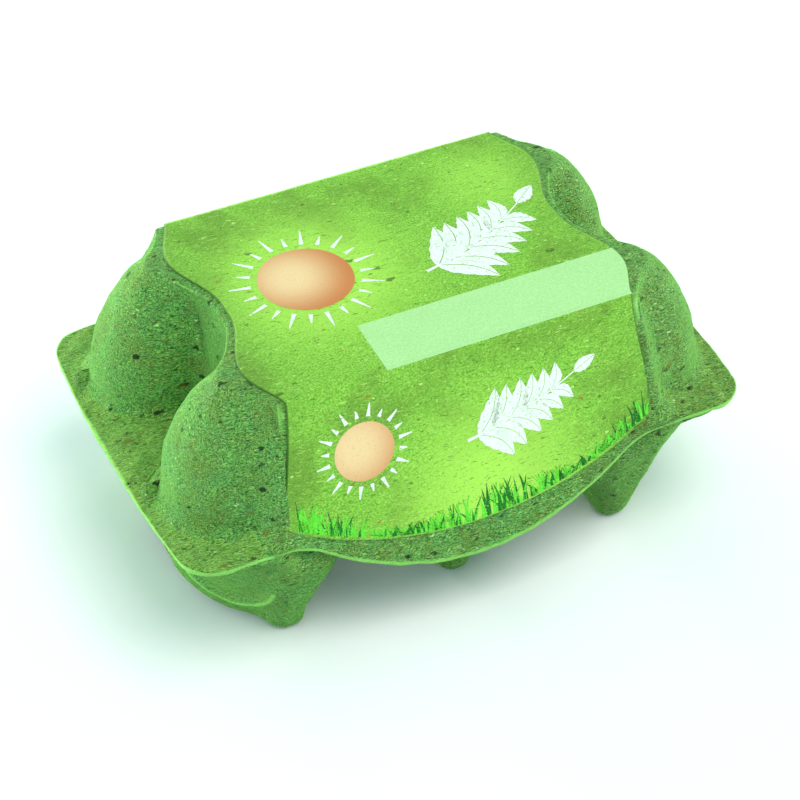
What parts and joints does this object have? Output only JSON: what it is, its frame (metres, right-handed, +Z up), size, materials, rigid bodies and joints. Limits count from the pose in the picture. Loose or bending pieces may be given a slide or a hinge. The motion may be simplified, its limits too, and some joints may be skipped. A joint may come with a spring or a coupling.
{
  "type": "moulded pulp egg carton, shut",
  "caption": "Shut moulded pulp egg carton with domed corners, a rim between lid and tray, a curved front flap, cups with feet, and a paper label over top and front.",
  "frame": {"origin": "middle of the carton's footprint, at the height of the feet's undersides", "axes": "+X along the carton, +Y from the front flap to the hinge side, +Z up"},
  "size_m": [0.15, 0.0964, 0.0724],
  "materials": {
    "pulp": "matt green grass-fibre pulp with dark and straw-coloured flecks",
    "label_paper": "matt printed paper, grass green with fine fibres"
  },
  "bodies": {
    "root": {"carton": "pulp", "label": "label_paper"}
  },
  "joints": []
}
